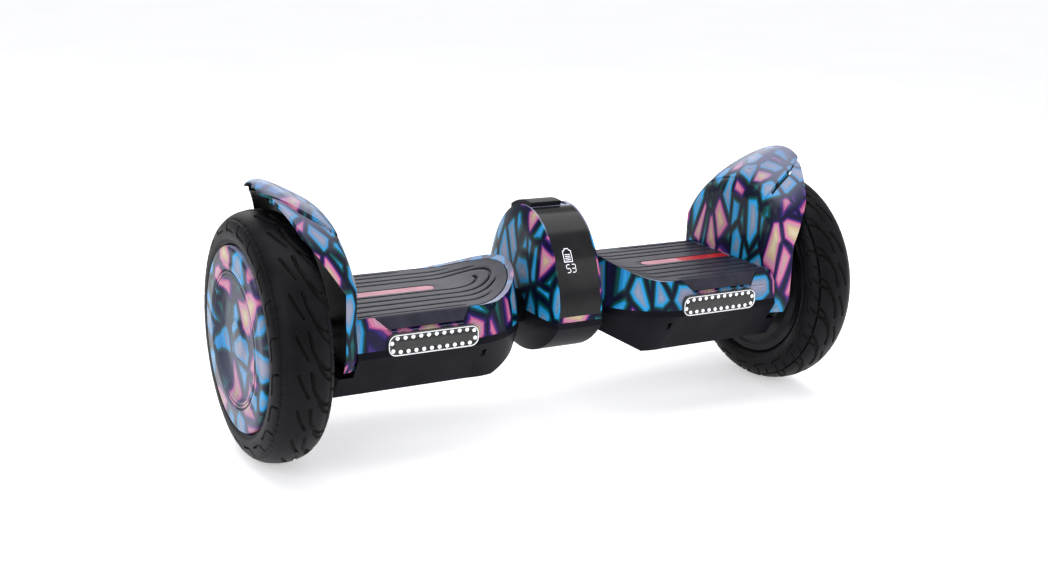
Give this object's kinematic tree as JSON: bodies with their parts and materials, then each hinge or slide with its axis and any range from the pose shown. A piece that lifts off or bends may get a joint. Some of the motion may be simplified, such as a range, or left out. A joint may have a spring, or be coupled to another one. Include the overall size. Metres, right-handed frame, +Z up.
{
  "type": "self balancing hoverboard",
  "caption": "Two-wheeled self balancing hoverboard: two foot-pad halves twisting about a central pivot, hooded air tyres on hub motors, light bars and a centre ring with display and handle.",
  "frame": {"origin": "on the ground, midway between the two wheels and below the central pivot", "axes": "+X along the wheel axle towards the half without the ring's pivot clamp, +Z up, light bars and display facing -Y"},
  "size_m": [0.7052, 0.254, 0.2856],
  "materials": {
    "printed_shell": "glossy printed shards in navy, teal, sky blue and pink",
    "black_shell": "fine matt black",
    "pad_rubber": "dark charcoal rubber",
    "red_lens": "translucent pink to red",
    "clear_lens": "clear moulded lens",
    "light_emitter": "dark board with white light emitters",
    "smoked_window": "smoked gloss window",
    "circuit_board": "green solder mask",
    "cast_aluminium": "as cast",
    "black_rim": "black coated",
    "tyre": "black moulded rubber",
    "brass_fitting": "turned",
    "steel": "zinc plated",
    "magnet": "nickel plated",
    "stator_steel": "coated laminations",
    "copper_wire": "enamelled winding",
    "battery_wrap": "blue shrink wrap over metal cells"
  },
  "bodies": {
    "left_half": {"battery_pack": "battery_wrap", "charge_cap_pin": "steel", "charge_socket": "black_shell", "display_board": "circuit_board", "display_window": "smoked_window", "left_axle": "steel", "left_axle_clamp": "cast_aluminium", "left_chassis": "cast_aluminium", "left_fender": "printed_shell", "left_gyro_board": "circuit_board", "left_light_bar_board": "light_emitter", "left_light_bar_lens": "clear_lens", "left_lower_cover": "black_shell", "left_screws": "steel", "left_stator": "stator_steel", "left_stator_coils": "copper_wire", "left_strip_lens": "red_lens", "left_upper_cover": "printed_shell", "main_harness": "pad_rubber", "pivot_retaining_ring": "steel", "pivot_shaft": "steel", "power_switch": "black_shell", "ring_lower_shell": "black_shell", "ring_upper_shell": "printed_shell"},
    "right_half": {"main_board": "circuit_board", "pivot_bushes": "brass_fitting", "right_axle": "steel", "right_axle_clamp": "cast_aluminium", "right_chassis": "cast_aluminium", "right_fender": "printed_shell", "right_gyro_board": "circuit_board", "right_light_bar_board": "light_emitter", "right_light_bar_lens": "clear_lens", "right_lower_cover": "black_shell", "right_screws": "steel", "right_stator": "stator_steel", "right_stator_coils": "copper_wire", "right_strip_lens": "red_lens", "right_upper_cover": "printed_shell"},
    "left_wheel": {"left_hub_cover": "printed_shell", "left_motor_cover": "cast_aluminium", "left_rotor_magnets": "magnet", "left_rotor_screws": "steel", "left_tyre": "tyre", "left_tyre_valve": "brass_fitting", "left_wheel_bearings": "steel", "left_wheel_rim": "black_rim"},
    "right_wheel": {"right_hub_cover": "printed_shell", "right_motor_cover": "cast_aluminium", "right_rotor_magnets": "magnet", "right_rotor_screws": "steel", "right_tyre": "tyre", "right_tyre_valve": "brass_fitting", "right_wheel_bearings": "steel", "right_wheel_rim": "black_rim"},
    "left_pad": {"left_foot_pad": "pad_rubber"},
    "right_pad": {"right_foot_pad": "pad_rubber"},
    "carry_handle": {"carry_handle": "black_shell"},
    "power_button": {"power_button": "black_shell"},
    "charge_cap": {"charge_cap": "pad_rubber"}
  },
  "joints": [
    {"name": "halves_twist", "type": "hinge", "parent": "left_half", "child": "right_half", "pos_m": [0.075, 0, 0.127], "axis": [1, 0, 0], "range_deg": [-12, 12]},
    {"name": "left_wheel_spin", "type": "hinge", "parent": "left_half", "child": "left_wheel", "pos_m": [-0.3194, 0, 0.127], "axis": [1, 0, 0], "continuous": true},
    {"name": "right_wheel_spin", "type": "hinge", "parent": "right_half", "child": "right_wheel", "pos_m": [0.3194, 0, 0.127], "axis": [1, 0, 0], "continuous": true},
    {"name": "left_pad_press", "type": "slide", "parent": "left_half", "child": "left_pad", "axis": [0, 0, -1], "range_m": [0, 0.0015], "stiffness_N_per_m": 8000, "springref_m": -0.0005},
    {"name": "right_pad_press", "type": "slide", "parent": "right_half", "child": "right_pad", "axis": [0, 0, -1], "range_m": [0, 0.0015], "stiffness_N_per_m": 8000, "springref_m": -0.0005},
    {"name": "carry_handle_lift", "type": "slide", "parent": "left_half", "child": "carry_handle", "axis": [0, 0, 1], "range_m": [0, 0.032]},
    {"name": "power_button_press", "type": "slide", "parent": "left_half", "child": "power_button", "axis": [0, -0.8448, 0.5351], "range_m": [0, 0.0012], "stiffness_N_per_m": 1500, "springref_m": -0.0006},
    {"name": "charge_cap_hinge", "type": "hinge", "parent": "left_half", "child": "charge_cap", "pos_m": [-0.19, 0.08796, 0.11006], "axis": [1, 0, 0], "range_deg": [0, 110]}
  ]
}
